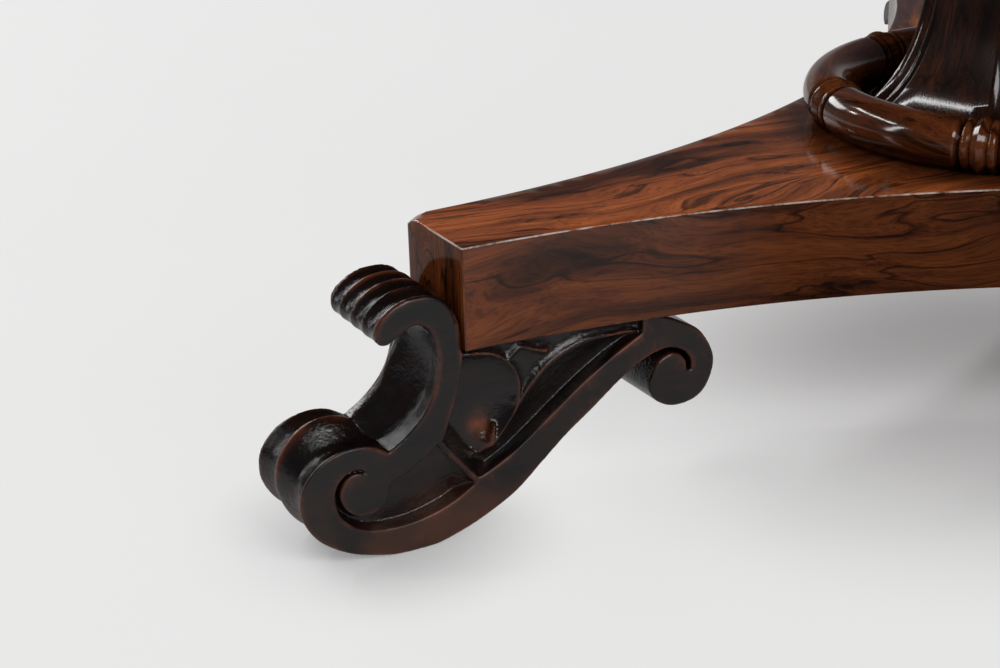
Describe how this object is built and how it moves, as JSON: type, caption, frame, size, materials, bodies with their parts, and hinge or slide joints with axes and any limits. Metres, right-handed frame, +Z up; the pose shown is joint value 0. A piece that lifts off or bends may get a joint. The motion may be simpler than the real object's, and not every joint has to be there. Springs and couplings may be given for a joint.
{
  "type": "tilt-top breakfast table",
  "caption": "Round tilting breakfast table on a faceted beaded column, hollow-sided platform and carved scroll feet; the top turns up on pins and is held down by sliding brass bolts.",
  "frame": {"origin": "on the floor, under the middle of the column", "axes": "+Z up; -Y to the side where the top's pins are, the side it hangs on when it is tilted; +X to the right seen from there"},
  "size_m": [1.32, 1.32, 0.735],
  "materials": {
    "figured_rosewood": "polished rosewood with dark streaks along the grain",
    "carved_dark_rosewood": "dark carved rosewood, satin polish, reddish wear on the edges",
    "plain_mahogany": "plain planed mahogany, unpolished",
    "aged_brass": "aged brass, dull in the corners",
    "forged_iron": "dark forged iron"
  },
  "bodies": {
    "base": {"platform": "figured_rosewood", "foot_left": "carved_dark_rosewood", "foot_right": "carved_dark_rosewood", "foot_rear": "carved_dark_rosewood", "foot_screw_left_1": "forged_iron", "foot_screw_left_2": "forged_iron", "foot_screw_right_1": "forged_iron", "foot_screw_right_2": "forged_iron", "foot_screw_rear_1": "forged_iron", "foot_screw_rear_2": "forged_iron", "ring_moulding": "figured_rosewood", "column_shaft": "figured_rosewood", "column_collar": "figured_rosewood", "column_capital": "figured_rosewood", "tie_rod": "forged_iron", "lower_nut": "forged_iron", "lower_washer": "forged_iron", "upper_nut": "forged_iron", "upper_washer": "forged_iron", "top_block": "plain_mahogany", "pivot_pin_left": "forged_iron", "pivot_pin_right": "forged_iron", "keeper_left": "aged_brass", "keeper_right": "aged_brass", "keeper_screw_left_inner": "aged_brass", "keeper_screw_left_outer": "aged_brass", "keeper_screw_right_inner": "aged_brass", "keeper_screw_right_outer": "aged_brass"},
    "top": {"top_board": "figured_rosewood", "frieze": "figured_rosewood", "frieze_bead": "figured_rosewood", "bearer_left": "plain_mahogany", "bearer_right": "plain_mahogany", "bearer_screw_left_1": "forged_iron", "bearer_screw_left_2": "forged_iron", "bearer_screw_left_3": "forged_iron", "bearer_screw_right_1": "forged_iron", "bearer_screw_right_2": "forged_iron", "bearer_screw_right_3": "forged_iron", "bolt_guide_left": "aged_brass", "bolt_guide_right": "aged_brass", "guide_screw_left_inner": "aged_brass", "guide_screw_left_outer": "aged_brass", "guide_screw_right_inner": "aged_brass", "guide_screw_right_outer": "aged_brass"},
    "bolt_left": {"slide_bolt_left": "aged_brass", "bolt_knob_left": "aged_brass"},
    "bolt_right": {"slide_bolt_right": "aged_brass", "bolt_knob_right": "aged_brass"}
  },
  "joints": [
    {"name": "top_tilt", "type": "hinge", "parent": "base", "child": "top", "pos_m": [0, -0.185, 0.6877], "axis": [1, 0, 0], "range_deg": [0, 90]},
    {"name": "bolt_slide_left", "type": "slide", "parent": "top", "child": "bolt_left", "axis": [0, -1, 0], "range_m": [0, 0.014]},
    {"name": "bolt_slide_right", "type": "slide", "parent": "top", "child": "bolt_right", "axis": [0, -1, 0], "range_m": [0, 0.014]}
  ]
}
